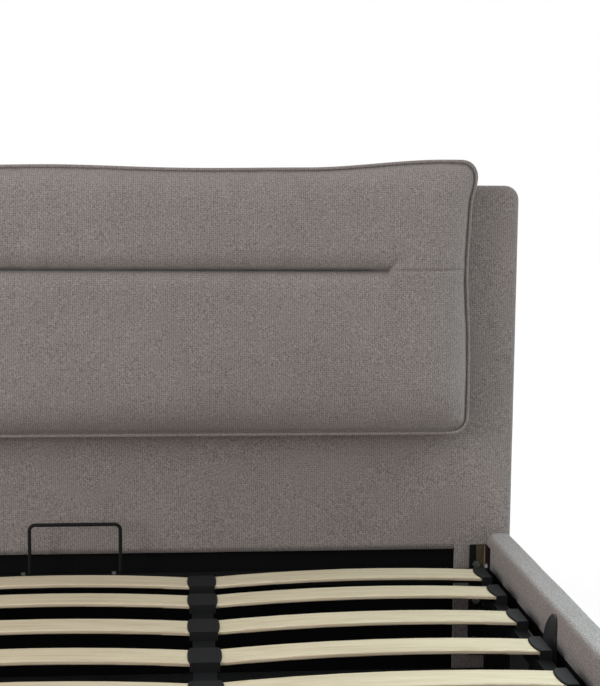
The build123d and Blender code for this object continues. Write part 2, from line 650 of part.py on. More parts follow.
# Slat holders: double ones on the beams and single ones on the side bars
with BuildPart() as beam_holders:
    for u in SLAT_U:
        y0 = FACE_Y - u - HOLDER_WIDTH / 2
        for side in (-1, 1):
            block(
                side * BEAM_X - BEAM_HOLDER_LENGTH / 2, side * BEAM_X + BEAM_HOLDER_LENGTH / 2,
                y0, y0 + HOLDER_WIDTH, BEAM_TOP, BEAM_SLAT_Z + HOLDER_LIP,
            )
    fillet(beam_holders.edges().filter_by(Axis.Y).group_by(Axis.Z)[-1], HOLDER_LIP * 0.6)
    for u in SLAT_U:
        for column in COLUMNS:
            add(slat(column, u, SLAT_CLEARANCE), mode=Mode.SUBTRACT)
save(beam_holders, "beam_slat_holders")

with BuildPart() as side_holders:
    for u in SLAT_U:
        y0 = FACE_Y - u - HOLDER_WIDTH / 2
        for side in (-1, 1):
            outer = side * (BAR_OUTER_X + SIDE_HOLDER_OVERHANG)
            x0, x1 = sorted((outer, outer - side * SIDE_HOLDER_LENGTH))
            block(x0, x1, y0, y0 + HOLDER_WIDTH, BAR_TOP, SIDE_SLAT_Z + HOLDER_LIP)
    fillet(side_holders.edges().filter_by(Axis.Y).group_by(Axis.Z)[-1], HOLDER_LIP * 0.6)
    for u in SLAT_U:
        for column in (COLUMNS[0], COLUMNS[2]):
            add(slat(column, u, SLAT_CLEARANCE), mode=Mode.SUBTRACT)
save(side_holders, "side_slat_holders")

# Mattress stop: a bent wire hoop on two tabs that are bolted to the head bar
STOP_Y = PLATFORM_HEAD_Y - BAR_WIDTH / 2
STOP_BASE = BAR_TOP + STOP_TAB
with BuildPart() as mattress_stop:
    with BuildLine() as hoop:
        FilletPolyline(
            (STOP_LEFT_X, STOP_Y, STOP_BASE),
            (STOP_LEFT_X, STOP_Y, BAR_TOP + STOP_HEIGHT),
            (STOP_LEFT_X + STOP_WIDTH, STOP_Y, BAR_TOP + STOP_HEIGHT),
            (STOP_LEFT_X + STOP_WIDTH, STOP_Y, STOP_BASE),
            radius=STOP_BEND_R,
        )
    with BuildSketch(Plane(origin=(STOP_LEFT_X, STOP_Y, STOP_BASE), z_dir=(0, 0, 1))):
        Circle(STOP_WIRE_R)
    sweep(path=hoop.wires()[0])
    for x in (STOP_LEFT_X, STOP_LEFT_X + STOP_WIDTH):
        block(
            x - STOP_TAB_OUT, x + STOP_TAB_IN, STOP_Y - STOP_TAB_WIDTH / 2, STOP_Y + STOP_TAB_WIDTH / 2,
            BAR_TOP, STOP_BASE,
        )
save(mattress_stop, "mattress_stop")

with BuildPart() as stop_bolts:
    for x in (STOP_LEFT_X - STOP_BOLT_OFFSET, STOP_LEFT_X + STOP_WIDTH - STOP_BOLT_OFFSET):
        with BuildSketch(Plane.XY.offset(STOP_BASE)):
            with Locations((x, STOP_Y)):
                RegularPolygon(STOP_BOLT_R, 6)
        extrude(amount=STOP_BOLT_HEAD)
save(stop_bolts, "mattress_stop_bolts")
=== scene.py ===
"""Upholstered storage bed: soft covers, finishes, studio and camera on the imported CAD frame."""

import math

import bpy
import numpy as np
from mathutils import Matrix, Vector, noise


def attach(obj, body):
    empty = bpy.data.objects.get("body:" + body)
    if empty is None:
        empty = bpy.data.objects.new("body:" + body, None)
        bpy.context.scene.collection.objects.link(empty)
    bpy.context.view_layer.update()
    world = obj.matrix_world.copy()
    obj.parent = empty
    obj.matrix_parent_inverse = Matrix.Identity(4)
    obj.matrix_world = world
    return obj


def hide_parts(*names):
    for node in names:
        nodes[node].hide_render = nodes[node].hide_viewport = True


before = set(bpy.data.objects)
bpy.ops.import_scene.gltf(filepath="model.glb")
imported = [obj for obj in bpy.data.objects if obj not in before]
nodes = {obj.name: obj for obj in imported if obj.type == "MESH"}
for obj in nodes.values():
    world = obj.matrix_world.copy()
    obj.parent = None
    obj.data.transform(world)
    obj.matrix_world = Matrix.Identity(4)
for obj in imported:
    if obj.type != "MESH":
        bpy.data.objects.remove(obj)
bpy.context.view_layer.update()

MM = 0.001
QUARTER = math.pi / 2

# Sizes that the covers share with the CAD model, in millimetres
FACE_Y = 991.5
BACK_Y = 1081.5
FOOT_IN_Y = -1028.5
RAIL_IN = 911.0
RAIL_OUT = 964.0
RAIL_TOP = 360.0
BOARD_IN = 914.0
BOARD_OUT = 942.0
BOARD_TOP = 348.0
COVER_LOW = 30.0
LINING_TOP = 290.0
HEAD_TOP = 1105.0
PANEL_HALF = 842.0
PANEL_TOP = 326.0
BEAM_X = 295.0
SIDE_SLAT_TOP = 306.0
BEAM_SLAT_TOP = 297.0
SLAT_CAMBER = 10.0
SLAT_SPAN = 580.0
FIRST_SLAT_U = 120.0
SECOND_SLAT_U = 242.0
LAST_SLAT_U = 1900.0
SLAT_PITCH = 153.6
MIDDLE_SLATS = 10


# Materials


class Shader:
    """A material's node tree with short ways to add nodes."""

    def __init__(self, name):
        self.material = bpy.data.materials.new(name)
        self.material.use_nodes = True
        self.tree = self.material.node_tree
        self.bsdf = self.tree.nodes["Principled BSDF"]
        self.coords = self.tree.nodes.new("ShaderNodeTexCoord").outputs["Object"]

    def join(self, out, into):
        self.tree.links.new(out, into)

    def stretch(self, scale):
        mapping = self.tree.nodes.new("ShaderNodeMapping")
        mapping.inputs["Scale"].default_value = scale
        self.join(self.coords, mapping.inputs["Vector"])
        return mapping.outputs["Vector"]

    def noise(self, scale, detail=2.0, rough=0.5, stretch=(1, 1, 1)):
        tex = self.tree.nodes.new("ShaderNodeTexNoise")
        tex.inputs["Scale"].default_value = scale
        tex.inputs["Detail"].default_value = detail
        tex.inputs["Roughness"].default_value = rough
        self.join(self.stretch(stretch), tex.inputs["Vector"])
        return tex.outputs["Fac"]

    def wave(self, along, period, distortion):
        """Even bands across one direction, a little uneven."""
        tex = self.tree.nodes.new("ShaderNodeTexWave")
        tex.wave_type = "BANDS"
        tex.bands_direction = "DIAGONAL"
        tex.inputs["Scale"].default_value = 2 * math.pi / (10.0 * period)
        tex.inputs["Distortion"].default_value = distortion
        tex.inputs["Detail"].default_value = 1.0
        self.join(self.stretch(along), tex.inputs["Vector"])
        return tex.outputs["Fac"]

    def math(self, kind, a, b):
        node = self.tree.nodes.new("ShaderNodeMath")
        node.operation = kind
        for socket, value in zip(node.inputs, (a, b)):
            if isinstance(value, (int, float)):
                socket.default_value = value
            else:
                self.join(value, socket)
        return node.outputs[0]

    def weigh(self, a, b, share):
        """Two values added up, the first for its share and the second for the rest."""
        return self.math("ADD", self.math("MULTIPLY", a, share), self.math("MULTIPLY", b, 1 - share))

    def colour(self, factor, *stops):
        """The base colour, from a ramp with colours at places between 0 and 1."""
        node = self.tree.nodes.new("ShaderNodeValToRGB")
        elements = node.color_ramp.elements
        while len(elements) < len(stops):
            elements.new(0.5)
        for element, (place, colour) in zip(elements, stops):
            element.position = place
            element.color = (*colour, 1.0)
        self.join(factor, node.inputs["Fac"])
        self.join(node.outputs["Color"], self.bsdf.inputs["Base Color"])

    def bump(self, height, depth, strength=1.0):
        node = self.tree.nodes.new("ShaderNodeBump")
        node.inputs["Strength"].default_value = strength
        node.inputs["Distance"].default_value = depth
        self.join(height, node.inputs["Height"])
        self.join(node.outputs["Normal"], self.bsdf.inputs["Normal"])

    def finish(self, rough, metal=0.0, specular=0.5):
        self.bsdf.inputs["Roughness"].default_value = rough
        self.bsdf.inputs["Metallic"].default_value = metal
        self.bsdf.inputs["Specular IOR Level"].default_value = specular
        return self.material


def tint(colour, amount):
    return tuple(min(c * amount, 1.0) for c in colour)


# Cloth: its colour, the weave's pitch in metres, and how fine threads and slubs are, to a metre
LINEN = (0.159, 0.1375, 0.1285)
WEAVE = 0.0042
THREAD = 780.0
SLUB = 290.0


def linen(name, spread, warp_way, weft_way, warp_bands, weft_bands):
    """Woven cloth: crossing threads with slubs and a heathered colour, stronger at a small spread."""
    s = Shader(name)
    warp = s.noise(1.0, 1.0, 0.75, warp_way)
    weft = s.noise(1.0, 1.0, 0.75, weft_way)
    over = s.wave(warp_bands, WEAVE, 0.9)
    under = s.wave(weft_bands, WEAVE, 0.9)
    cloud = s.noise(7.0, 4.0, 0.6)
    threads = s.weigh(s.weigh(warp, weft, 0.56), s.weigh(over, under, 0.68), 0.88)
    patches = s.math("MULTIPLY", s.math("SUBTRACT", cloud, 0.5), 0.05)
    shade = s.math("ADD", threads, patches)
    dark, pale = tint(LINEN, 0.52), tint(LINEN, 1.56)
    s.colour(shade, (0.5 - spread, dark), (0.5, LINEN), (0.5 + spread, pale))
    s.bump(threads, 0.0009, 0.8)
    s.bsdf.inputs["Sheen Weight"].default_value = 0.12
    s.bsdf.inputs["Sheen Roughness"].default_value = 0.5
    return s.finish(0.92, specular=0.15)


def birch(name):
    """Pale laminated slat with a long grain."""
    s = Shader(name)
    grain = s.noise(1.0, 5.0, 0.6, (5, 130, 130))
    streaks = s.noise(1.0, 3.0, 0.6, (24, 900, 700))
    both = s.weigh(grain, streaks, 0.65)
    dark, middle, pale = (0.275, 0.213, 0.14), (0.365, 0.295, 0.203), (0.435, 0.36, 0.258)
    s.colour(both, (0.3, dark), (0.5, middle), (0.72, pale))
    s.bump(both, 0.0004, 0.4)
    return s.finish(0.55, specular=0.35)


def timber(name):
    """Rough boards and blocks of the carcase."""
    s = Shader(name)
    grain = s.noise(1.0, 5.0, 0.6, (8, 60, 8))
    dark, middle, pale = (0.20, 0.10, 0.05), (0.30, 0.17, 0.09), (0.42, 0.27, 0.16)
    s.colour(grain, (0.3, dark), (0.5, middle), (0.7, pale))
    s.bump(grain, 0.0006, 0.5)
    return s.finish(0.7)


def mottled(name, colour, rough, metal=0.0, scale=160.0, spread=0.25, depth=0.0003, specular=0.5):
    """A plain finish with a fine uneven grain."""
    s = Shader(name)
    grain = s.noise(scale, 4.0, 0.6)
    s.colour(grain, (0.3, tint(colour, 1 - spread)), (0.7, tint(colour, 1 + spread)))
    s.bump(grain, depth, 0.5)
    uneven = s.math("ADD", s.math("MULTIPLY", grain, 0.2), rough - 0.1)
    s.join(uneven, s.bsdf.inputs["Roughness"])
    return s.finish(rough, metal, specular)


UPRIGHT = (THREAD, THREAD, SLUB)
ACROSS = (SLUB, THREAD, THREAD)
LENGTHWISE = (THREAD, SLUB, THREAD)
ROUND_RAIL = (SLUB, THREAD, SLUB)
NEAR_BLACK = (0.003, 0.003, 0.003)
FINISHES = {
    "linen_fabric": linen("linen_fabric", 0.12, UPRIGHT, ACROSS, (1, 1, 0), (0, 1, 1)),
    "linen_cushion": linen("linen_cushion", 0.12, UPRIGHT, ACROSS, (1, 0, 0), (0, 0, 1)),
    "linen_lengthwise": linen("linen_lengthwise", 0.10, LENGTHWISE, ROUND_RAIL, (1, 0, 1), (0, 1, 0)),
    "black_lining": mottled("black_lining", NEAR_BLACK, 0.9, scale=700.0, specular=0.06),
    "back_lining": mottled(
        "back_lining", (0.011, 0.011, 0.012), 0.9, scale=420.0, spread=0.45, specular=0.08
    ),
    "timber": timber("timber"),
    "black_panel": mottled("black_panel", NEAR_BLACK, 0.85, scale=300.0, specular=0.05),
    "floor_board": mottled(
        "floor_board", (0.012, 0.0115, 0.011), 0.7, scale=70.0, spread=0.4, specular=0.1
    ),
    "birch_slat": birch("birch_slat"),
    "black_plastic": mottled(
        "black_plastic", (0.006, 0.006, 0.0065), 0.5, scale=500.0, specular=0.2
    ),
    "black_rubber": mottled("black_rubber", (0.02, 0.02, 0.02), 0.75, scale=400.0),
    "bright_steel": mottled(
        "bright_steel", (0.62, 0.62, 0.61), 0.25, 1.0, scale=220.0, spread=0.08
    ),
    "zinc_steel": mottled("zinc_steel", (0.55, 0.54, 0.50), 0.38, 1.0, scale=120.0, spread=0.15),
    "passivated_steel": mottled(
        "passivated_steel", (0.055, 0.047, 0.026), 0.5, 0.3, scale=90.0, spread=0.3, specular=0.3
    ),
    "lift_steel": mottled(
        "lift_steel", (0.022, 0.022, 0.024), 0.42, scale=300.0, spread=0.35, specular=0.35
    ),
    "black_steel": mottled(
        "black_steel", (0.004, 0.004, 0.004), 0.55, scale=350.0, specular=0.12
    ),
}


# Mesh helpers, in millimetres


def new_object(name, points, faces, finish, smooth=True):
    mesh = bpy.data.meshes.new(name)
    mesh.from_pydata([tuple(p) for p in np.asarray(points, float) * MM], [], faces)
    mesh.validate()
    if smooth:
        mesh.polygons.foreach_set("use_smooth", [True] * len(mesh.polygons))
    obj = bpy.data.objects.new(name, mesh)
    bpy.context.scene.collection.objects.link(obj)
    mesh.materials.append(FINISHES[finish])
    return obj


def ring_faces(rows, columns, closed_rows=False):
    """Quads between consecutive rings of points; each ring is closed."""
    faces = []
    for i in range(rows if closed_rows else rows - 1):
        a, b = i * columns, ((i + 1) % rows) * columns
        for j in range(columns):
            k = (j + 1) % columns
            faces.append((a + j, a + k, b + k, b + j))
    return faces


def end_faces(rows, columns):
    """The two lids of a run of closed rings."""
    last = (rows - 1) * columns
    return [tuple(range(columns))[::-1], tuple(range(last, last + columns))]


def unit(vectors):
    return vectors / np.linalg.norm(vectors, axis=1)[:, None]


def lumps(p, size, amount, seed):
    """A smooth uneven offset at a place, in millimetres."""
    place = (p[0] / size + seed, p[1] / size - seed, p[2] / size + 2 * seed)
    return amount * noise.noise(Vector(place))


def smooth_step(t):
    t = np.clip(t, 0.0, 1.0)
    return t * t * (3 - 2 * t)


def bell(d, reach):
    return np.exp(-((d / reach) ** 2))


def fade(d, reach):
    return np.exp(-d / reach)


def closed_tube(name, path, radius, finish, sides=10):
    """A round cord along a closed path of points."""
    way = unit(np.roll(path, -1, 0) - np.roll(path, 1, 0))
    side = unit(np.cross(way, np.array([0.0, 1.0, 0.0])))
    up = np.cross(side, way)
    turn = np.linspace(0, 2 * math.pi, sides, endpoint=False)[None, :, None]
    around = np.cos(turn) * side[:, None, :] + np.sin(turn) * up[:, None, :]
    rings = path[:, None, :] + radius * around
    return new_object(name, rings.reshape(-1, 3), ring_faces(len(path), sides, True), finish)


def rounded(profile, radius, steps):
    """A closed outline with rounded corners: profile holds (x, z, share of the radius)."""
    out = []
    count = len(profile)
    for i, (x, z, share) in enumerate(profile):
        here = np.array([x, z])
        if share == 0:
            out.append(here)
            continue
        before = np.array(profile[i - 1][:2]) - here
        after = np.array(profile[(i + 1) % count][:2]) - here
        before /= np.linalg.norm(before)
        after /= np.linalg.norm(after)
        r = radius * share
        centre = here + r * (before + after)
        for turn in np.linspace(0, QUARTER, steps + 1):
            out.append(centre - r * (after * math.cos(turn) + before * math.sin(turn)))
    return np.array(out)


def fine(outline, step, like=None):
    """The same closed outline with no long straight runs, parted as another one is."""
    base = outline if like is None else like
    out = []
    for a, b, c, d in zip(outline, np.roll(outline, -1, 0), base, np.roll(base, -1, 0)):
        parts = max(int(np.linalg.norm(d - c) / step), 1)
        for k in range(parts):
            out.append(a + (b - a) * k / parts)
    return np.array(out)


def thicken(obj, amount):
    """Give a skin a cloth's thickness, inwards."""
    solid = obj.modifiers.new("thickness", "SOLIDIFY")
    solid.thickness = amount * MM
    solid.offset = 1.0


# Headboard cover

HEAD_CORNER = 30.0
HEAD_RIM = 9.0
CLOTH = 1.2
TURNED_OVER = ((14.5, 0.6), (8.0, 0.3), (2.0, 0.3), (0.4, 1.2))
TUCKED_IN = (3.0, 8.0, 12.0)
FLAT_BACK = 6.0

# Unevenness of padding: the size of a lump, its height and a seed
HEAD_LUMPS = ((160.0, 1.6, 3.1), (45.0, 0.5, 7.7))


def head_outline():
    """The headboard's outline from its lower right corner over the top to its lower left corner."""
    side_end, top_end = HEAD_TOP - HEAD_CORNER, RAIL_OUT - HEAD_CORNER
    right = [(RAIL_OUT, z) for z in np.linspace(COVER_LOW, side_end, 70)]
    for turn in np.linspace(0, QUARTER, 10)[1:-1]:
        right.append((top_end + HEAD_CORNER * math.cos(turn), side_end + HEAD_CORNER * math.sin(turn)))
    right += [(x, HEAD_TOP) for x in np.linspace(top_end, 0, 60)]
    return np.array(right + [(-x, z) for x, z in right[-2::-1]])


def head_rings(outline):
    """Outlines and their Y places, from the back edge over the rim and face to the lower panel."""
    inner = outline.copy()
    low = outline[:, 1] < PANEL_TOP
    inner[low, 0] = np.sign(outline[low, 0]) * PANEL_HALF
    inner[~low, 0] = np.clip(outline[~low, 0], -PANEL_HALF, PANEL_HALF)
    inner[~low, 1] = PANEL_TOP
    edge = np.roll(outline, -1, 0) - np.roll(outline, 1, 0)
    edge[0], edge[-1] = (0, 1), (0, -1)
    edge = unit(edge)
    inwards = np.stack([-edge[:, 1], edge[:, 0]], 1)
    rim_y = FACE_Y + HEAD_RIM
    rings = [(outline + inwards * inset, BACK_Y - depth) for inset, depth in TURNED_OVER]
    rings += [(outline, y) for y in np.linspace(BACK_Y - 4.0, rim_y, 7)]
    for turn in np.linspace(0, QUARTER, 7)[1:]:
        inset = HEAD_RIM * (1 - math.cos(turn))
        rings.append((outline + inwards * inset, rim_y - HEAD_RIM * math.sin(turn)))
    start = outline + inwards * HEAD_RIM
    rings += [(start + (inner - start) * share, FACE_Y) for share in np.linspace(0, 1, 60)[1:]]
    return rings + [(inner, FACE_Y + depth) for depth in TUCKED_IN]


def headboard_cover():
    """A padded skin round the headboard's front, sides and top, open round the lower panel."""
    outline = head_outline()
    rings = head_rings(outline)
    points = []
    for flat, y in rings:
        for x, z in flat:
            p = (x, y, z)
            push = sum(abs(lumps(p, *lump)) for lump in HEAD_LUMPS)
            points.append((x, y + push if y < BACK_Y - FLAT_BACK else y, z))
    n = len(outline)
    faces = []
    for i in range(len(rings) - 1):
        for q in range(i * n, i * n + n - 1):
            faces.append((q, q + n, q + n + 1, q + 1))
    obj = new_object("headboard_cover", points, faces, "linen_fabric")
    thicken(obj, CLOTH)
    return obj


# Cushion: outline, depth, tuck across its upper third, and piping

CUSHION_HALF = 850.0
CUSHION_LOW = 590.0
CUSHION_TOP = 1132.0
CUSHION_BACK = FACE_Y - 0.6
CUSHION_EDGE = 46.0
CUSHION_DEPTH = 90.0
LOW_CORNER = 30.0
TOP_CORNER = 28.0

# Its outline: sides drawn in beside the tuck, top corners spread and raised, top edge swaying
DRAWN_IN = 8.0
DRAWN_REACH = 110.0
EAR_OUT = 9.0
EAR_START = 1056.0
EAR_HEIGHT = 46.0
EAR_UP = 19.0
EAR_SHARE = 0.60
EAR_SHARE_RUN = 0.34
LIFT_START = 1000.0
LIFT_HEIGHT = 130.0
TOP_SWAY = 3.0
SWAY_LENGTH = 95.0

# Its crown: how fast the front swells in from each edge
SIDE_CROWN = 30.0
TOP_CROWN = 26.0
LOW_CROWN = 34.0

# The tuck: a roll that overhangs a slit, and a crease and a seam at each of its ends
TUCK_Z = 930.0
TUCK_DEPTH = 28.0
TUCK_END = 688.0
TUCK_SLANT = 0.9
TUCK_SLANT_TOP = 60.0
TUCK_RUN = 12.0
TUCK_LIP = 9.0
OVERHANG = 46.0
UNDER_TUCK = 3.0
UNDER_REACH = 60.0
SLIT_DEPTH = 14.0
SLIT_HALF = 2.6
SLIT_TAPER = 60.0
CREASE_DEPTH = 3.5
CREASE_HALF = 5.0
CREASE_TOP = 34.0
CREASE_FADE = 20.0
CREASE_LOW = -2.0
SEAM_DEPTH = 3.0
SEAM_HALF = 3.2
SEAM_INSET = 8.0

# Cloth near the piping and the tuck, and unevenness: a lump's size, its height and a seed
WELT_DEPTH = 2.4
WELT_INSET = 5.0
WELT_HALF = 3.5
SOFT_RIM = 40.0
PUCKER_REACH = 26.0
TUCK_PUCKER_REACH = 55.0
TUCK_PUCKER_PAST = 40.0
UPRIGHT_STRETCH = 0.25
SWELLS = ((260.0, 5.0, 1.3), (90.0, 2.2, 4.4), (32.0, 0.7, 9.1))
RIM_PUCKERS = (24.0, 2.2, 5.5)
TUCK_PUCKERS = (38.0, 3.0, 6.2)

# Piping, and the sides from the front's edge to the back
PIPE_R = 3.5
PIPE_OUT = 1.8
PIPE_FORWARD = 2.4
PIPE_STEP = 5.0
SIDE_SHARES = (0.15, 0.4, 0.65, 0.85, 1.0)
SIDE_BULGE = 5.0
BULGE_END = 1.1
BACK_DRAW = 6.0
SIDE_REACH = 60.0
SIDE_MIDDLE = 213.0

# Rows and columns of the front's grid
ROWS = 150
COLUMNS = 341
TUCK_BAND = 50.0
TUCK_BAND_ROWS = 30
TUCK_NEAR = 15.0
TUCK_ROW_STEP = 1.2
END_BEFORE = 20.0
END_PAST = 44.0
END_COLUMNS = 40


def cushion_half(z):
    """Half of the cushion's width at a height: rounded corners, drawn in where the tuck ends."""
    half = CUSHION_HALF - DRAWN_IN * bell(z - TUCK_Z, DRAWN_REACH)
    half = half + EAR_OUT * smooth_step((z - EAR_START) / EAR_HEIGHT)
    low = np.clip(LOW_CORNER - (z - CUSHION_LOW), 0, LOW_CORNER)
    high = np.clip(TOP_CORNER - (CUSHION_TOP - z), 0, TOP_CORNER)
    half = half - (LOW_CORNER - np.sqrt(LOW_CORNER**2 - low**2))
    return half - (TOP_CORNER - np.sqrt(TOP_CORNER**2 - high**2))


def cushion_lift(x, z):
    """How far the cushion's top edge rises towards its corners, with a slight sway between."""
    share = np.abs(x) / CUSHION_HALF
    near_top = smooth_step((z - LIFT_START) / LIFT_HEIGHT)
    ears = EAR_UP * smooth_step((share - EAR_SHARE) / EAR_SHARE_RUN)
    return near_top * (ears + TOP_SWAY * np.cos(x / SWAY_LENGTH) * (1 - share))


def cushion_depth(x, z, half):
    """How far the front stands out from the headboard."""
    to_side = np.clip(half - np.abs(x), 0, None)
    to_top = np.clip(CUSHION_TOP - z, 0, None)
    to_low = np.clip(z - CUSHION_LOW, 0, None)
    crown = (1 - fade(to_side, SIDE_CROWN)) * (1 - fade(to_top, TOP_CROWN)) * (1 - fade(to_low, LOW_CROWN))
    out = CUSHION_EDGE + (CUSHION_DEPTH - CUSHION_EDGE) * crown
    d = z - TUCK_Z
    under = np.clip(-d, 0, None)
    past_end = np.abs(x) - TUCK_END - TUCK_SLANT * np.clip(d, 0, TUCK_SLANT_TOP)
    run = smooth_step(-past_end / TUCK_RUN)
    roll = 1 - np.sqrt(1 - np.clip(1 - d / OVERHANG, 0, 1) ** 2)
    out = out - TUCK_DEPTH * run * np.where(d >= 0, roll, fade(under, TUCK_LIP))
    out = out - UNDER_TUCK * run * fade(under, UNDER_REACH) * (d < 0)
    taper = smooth_step((TUCK_END - np.abs(x)) / SLIT_TAPER)
    out = out - SLIT_DEPTH * taper * bell(d, SLIT_HALF)
    crease = smooth_step((CREASE_TOP - d) / CREASE_FADE) * (d > CREASE_LOW)
    out = out - CREASE_DEPTH * bell(past_end, CREASE_HALF) * crease
    seam = (1 - run) * bell(d, SEAM_HALF) * (1 - fade(to_side, SEAM_INSET))
    return out - SEAM_DEPTH * seam


def cushion_rows():
    """Heights of the front's rows, close together at the edges and at the tuck."""
    wave = np.cos(np.linspace(0, np.pi, ROWS))
    share = 0.5 - 0.5 * wave * (0.35 + 0.65 * np.abs(wave) ** 0.3)
    share = (share - share[0]) / (share[-1] - share[0])
    zs = CUSHION_LOW + share * (CUSHION_TOP - CUSHION_LOW)
    around = np.linspace(TUCK_Z - TUCK_BAND, TUCK_Z + TUCK_BAND, TUCK_BAND_ROWS)
    wide = np.concatenate([zs, around])
    near = np.arange(TUCK_Z - TUCK_NEAR, TUCK_Z + TUCK_NEAR, TUCK_ROW_STEP)
    return np.unique(np.concatenate([wide[np.abs(wide - TUCK_Z) > TUCK_NEAR], near]).round(2))


def cushion_columns():
    """Shares of the half width for the front's columns, close together at the tuck's ends."""
    share = np.linspace(-1, 1, COLUMNS)
    share = np.sign(share) * (1 - (1 - np.abs(share)) ** 1.15)
    ends = np.linspace(TUCK_END - END_BEFORE, TUCK_END + END_PAST, END_COLUMNS) / CUSHION_HALF
    return np.unique(np.concatenate([share, ends, -ends]).round(5))


def cushion_front():
    """The front's grid of points, row by row from its lower left corner."""
    zs = cushion_rows()
    half = cushion_half(zs)[:, None]
    x = cushion_columns()[None, :] * half
    z = np.repeat(zs[:, None], x.shape[1], 1)
    out = cushion_depth(x, z, half)
    z = z + cushion_lift(x, z)
    rim_z = np.minimum(CUSHION_TOP - zs, zs - CUSHION_LOW)[:, None]
    rim = np.minimum(rim_z, half - np.abs(x))
    out = out - WELT_DEPTH * bell(rim - WELT_INSET, WELT_HALF)
    soft = np.minimum(rim / SOFT_RIM, 1.0)
    pucker = fade(rim, PUCKER_REACH) * np.clip(rim / WELT_INSET, 0, 1)
    near_tuck = fade(np.abs(z - TUCK_Z), TUCK_PUCKER_REACH) * (np.abs(x) < TUCK_END + TUCK_PUCKER_PAST)
    for i, j in np.ndindex(x.shape):
        p = (x[i, j], 0.0, z[i, j])
        upright = (p[0], 0.0, p[2] * UPRIGHT_STRETCH)
        out[i, j] += soft[i, j] * sum(lumps(p, *swell) for swell in SWELLS)
        out[i, j] += pucker[i, j] * lumps(p, *RIM_PUCKERS)
        out[i, j] += near_tuck[i, j] * lumps(upright, *TUCK_PUCKERS)
    return np.stack([x, CUSHION_BACK - out, z], 2)


def piping_path(loop):
    """The piping's centre line, evened out and set off from the front's edge."""
    path = [loop[0]]
    for p in loop[1:]:
        if np.linalg.norm(p - path[-1]) > PIPE_STEP:
            path.append(p)
    path = np.array(path)
    path = (np.roll(path, 1, 0) + 2 * path + np.roll(path, -1, 0)) / 4
    along = np.roll(path, -1, 0) - np.roll(path, 1, 0)
    outward = unit(np.stack([along[:, 2], np.zeros(len(along)), -along[:, 0]], 1))
    return path + PIPE_OUT * outward - np.array([0.0, PIPE_FORWARD, 0.0])


def cushion():
    """The cushion's closed form and the piping along its front edge."""
    front = cushion_front()
    rows, columns = front.shape[:2]
    faces = []
    for i in range(rows - 1):
        for q in range(i * columns, i * columns + columns - 1):
            faces.append((q, q + 1, q + columns + 1, q + columns))
    grid = np.arange(rows * columns).reshape(rows, columns)
    border = [grid[0], grid[1:, -1], grid[-1, -2::-1], grid[-2:0:-1, 0]]
    last = np.concatenate(border).tolist()
    points = front.reshape(-1, 3)
    loop = points[last]
    way = loop - np.array([0.0, 0.0, (CUSHION_LOW + CUSHION_TOP) / 2])
    way[:, 1] = 0
    for axis, flat in ((0, CUSHION_HALF - SIDE_REACH), (2, SIDE_MIDDLE)):
        past = np.clip(np.abs(way[:, axis]) - flat, 0, SIDE_REACH)
        way[:, axis] = np.sign(way[:, axis]) * past / SIDE_REACH
    for share in SIDE_SHARES:
        ring = loop.copy()
        ring[:, 1] += (CUSHION_BACK - loop[:, 1]) * share
        bulge = SIDE_BULGE * math.sin(math.pi * min(share * BULGE_END, 1.0)) - BACK_DRAW * share**3
        here = list(range(len(points), len(points) + len(ring)))
        points = np.concatenate([points, ring + bulge * way])
        for k in range(len(ring)):
            m = (k + 1) % len(ring)
            faces.append((last[m], last[k], here[k], here[m]))
        last = here
    faces.append(tuple(last))
    pad = new_object("headboard_cushion_pad", points, faces, "linen_cushion")
    pipe = closed_tube("headboard_cushion_piping", piping_path(loop), PIPE_R, "linen_cushion")
    return pad, pipe


# Rail covers

RAIL_ROUND = 14.0
ROUND_STEPS = 8
SECTION_STEP = 24.0
INNER_ROUND = 0.75
INNER_ROUND_AT_HEAD = 1.7
HEAD_END = 60.0
HEAD_ROUND_OFF = 55.0
SIDE_SLACK = (130.0, 1.4, 2.2)
FOOT_SLACK = (130.0, 1.4, 8.2)
FOOT_BOARD = BOARD_OUT - RAIL_IN
RAIL_WIDTH = RAIL_OUT - RAIL_IN
NEAR_TOP = 340.0


def side_profile(inner_share=1.0):
    """A rail cover's section, from outside below over the top to the lining, and back inside."""
    outer = [
        (RAIL_OUT, COVER_LOW, 0),
        (RAIL_OUT, RAIL_TOP, 1),
        (RAIL_IN, RAIL_TOP, inner_share),
        (RAIL_IN, LINING_TOP, 0),
    ]
    inner = [
        (BOARD_IN, LINING_TOP, 0),
        (BOARD_IN, BOARD_TOP, 0),
        (BOARD_OUT, BOARD_TOP, 0),
        (BOARD_OUT, COVER_LOW, 0),
    ]
    return rounded(outer + inner, RAIL_ROUND, ROUND_STEPS)


def side_point(x, y, z, side):
    """A place on a side rail's cover, with the cloth's slack on its outer and top faces."""
    if BOARD_IN - 1 < abs(x) < BOARD_OUT + 1 and z < BOARD_TOP + 1:
        return x, y, z
    dent = abs(lumps((x, y, z), *SIDE_SLACK))
    if abs(x) > RAIL_IN + 20:
        x = x - side * dent
    if z > NEAR_TOP:
        z = z - 0.5 * dent
    return x, y, z


